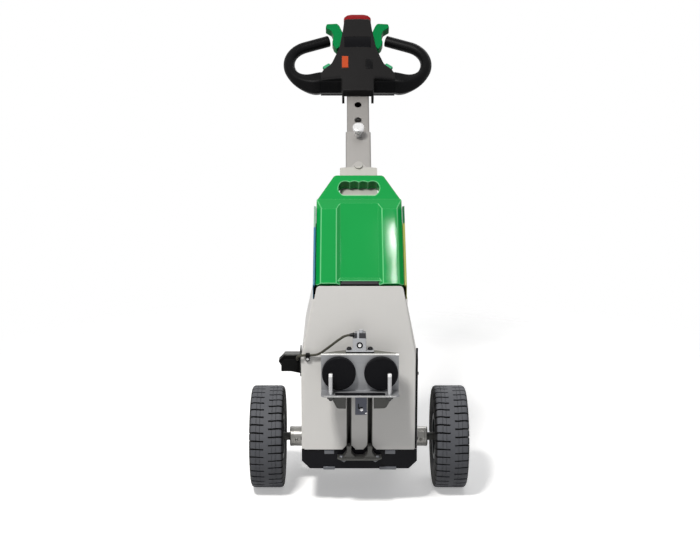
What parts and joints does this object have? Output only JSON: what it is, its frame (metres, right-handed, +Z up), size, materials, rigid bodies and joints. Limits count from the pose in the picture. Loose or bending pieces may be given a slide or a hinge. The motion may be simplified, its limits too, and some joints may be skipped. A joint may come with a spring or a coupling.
{
  "type": "pedestrian electric tow tractor",
  "caption": "Walk-behind electric tug with block tyres, a lifting front coupling, a slanted battery pack and a telescopic tiller with a loop-grip head.",
  "frame": {"origin": "on the floor under the middle of the whole machine's outline", "axes": "+Z up, +X to the right as seen from the coupling, -Y towards the coupling; the operator stands at +Y"},
  "size_m": [0.548, 0.8136, 1.1828],
  "materials": {
    "tyre": "matte",
    "rim_grey": "satin",
    "bare_steel": "satin",
    "stainless": "satin",
    "black_metal": "satin",
    "cast_block": "matte",
    "green_case": "gloss",
    "blue_cover": "satin",
    "yellow_cover": "satin",
    "black_plastic": "matte",
    "green_lever": "satin",
    "red_button": "satin",
    "orange_switch": "satin",
    "grey_switch": "satin",
    "rubber_black": "matte",
    "cable_grey": "matte",
    "castor_tread": "matte"
  },
  "bodies": {
    "chassis": {"front_plate": "stainless", "left_side_panel": "stainless", "right_side_panel": "stainless", "base_pan": "black_metal", "rear_cover": "black_metal", "battery_tray": "black_metal", "left_cheek": "blue_cover", "right_cheek": "yellow_cover", "drive_unit": "cast_block", "left_axle_collar": "bare_steel", "right_axle_collar": "bare_steel", "lift_rails": "bare_steel", "tiller_bracket": "stainless", "tiller_outer_tube": "stainless", "index_plunger": "bare_steel", "charging_socket": "black_plastic", "socket_bracket": "bare_steel", "cable_clip": "rubber_black", "sensor_cable": "cable_grey", "castor_mounts": "bare_steel"},
    "coupling_carriage": {"coupling_webs": "bare_steel", "coupling_face": "stainless", "coupling_pads": "rubber_black", "coupling_pins": "bare_steel", "coupling_gusset": "bare_steel", "top_sensor": "grey_switch", "lower_switch": "grey_switch"},
    "battery_pack": {"battery_case": "green_case", "battery_latch": "rubber_black"},
    "tiller_mast": {"tiller_inner_tube": "stainless", "tiller_head": "black_plastic", "left_grip": "black_plastic", "right_grip": "black_plastic", "thumb_levers": "green_lever", "belly_button": "red_button", "rocker_switch": "orange_switch"},
    "left_wheel": {"left_tyre": "tyre", "left_rim": "rim_grey", "left_half_shaft": "bare_steel"},
    "right_wheel": {"right_tyre": "tyre", "right_rim": "rim_grey", "right_half_shaft": "bare_steel"},
    "left_castor": {"left_castor_fork": "bare_steel"},
    "right_castor": {"right_castor_fork": "bare_steel"},
    "left_castor_roller": {"left_castor_wheel": "castor_tread"},
    "right_castor_roller": {"right_castor_wheel": "castor_tread"}
  },
  "joints": [
    {"name": "left_wheel_spin", "type": "hinge", "parent": "chassis", "child": "left_wheel", "pos_m": [-0.2315, -0.15478, 0.13], "axis": [1, 0, 0], "continuous": true},
    {"name": "right_wheel_spin", "type": "hinge", "parent": "chassis", "child": "right_wheel", "pos_m": [0.2315, -0.15478, 0.13], "axis": [1, 0, 0], "continuous": true},
    {"name": "left_castor_swivel", "type": "hinge", "parent": "chassis", "child": "left_castor", "pos_m": [-0.095, 0.05522, 0.115], "axis": [0, 0, 1], "continuous": true},
    {"name": "left_castor_roll", "type": "hinge", "parent": "left_castor", "child": "left_castor_roller", "pos_m": [-0.095, 0.09122, 0.05], "axis": [1, 0, 0], "continuous": true},
    {"name": "right_castor_swivel", "type": "hinge", "parent": "chassis", "child": "right_castor", "pos_m": [0.095, 0.05522, 0.115], "axis": [0, 0, 1], "continuous": true},
    {"name": "right_castor_roll", "type": "hinge", "parent": "right_castor", "child": "right_castor_roller", "pos_m": [0.095, 0.09122, 0.05], "axis": [1, 0, 0], "continuous": true},
    {"name": "coupling_lift", "type": "slide", "parent": "chassis", "child": "coupling_carriage", "axis": [0, 0, 1], "range_m": [-0.1, 0], "deforming": ["sensor_cable"]},
    {"name": "tiller_telescope", "type": "slide", "parent": "chassis", "child": "tiller_mast", "axis": [0, 0.7071, 0.7071], "range_m": [-0.05, 0.1]},
    {"name": "battery_lift_out", "type": "slide", "parent": "chassis", "child": "battery_pack", "axis": [0, -0.7071, 0.7071], "range_m": [0, 0.13]}
  ]
}
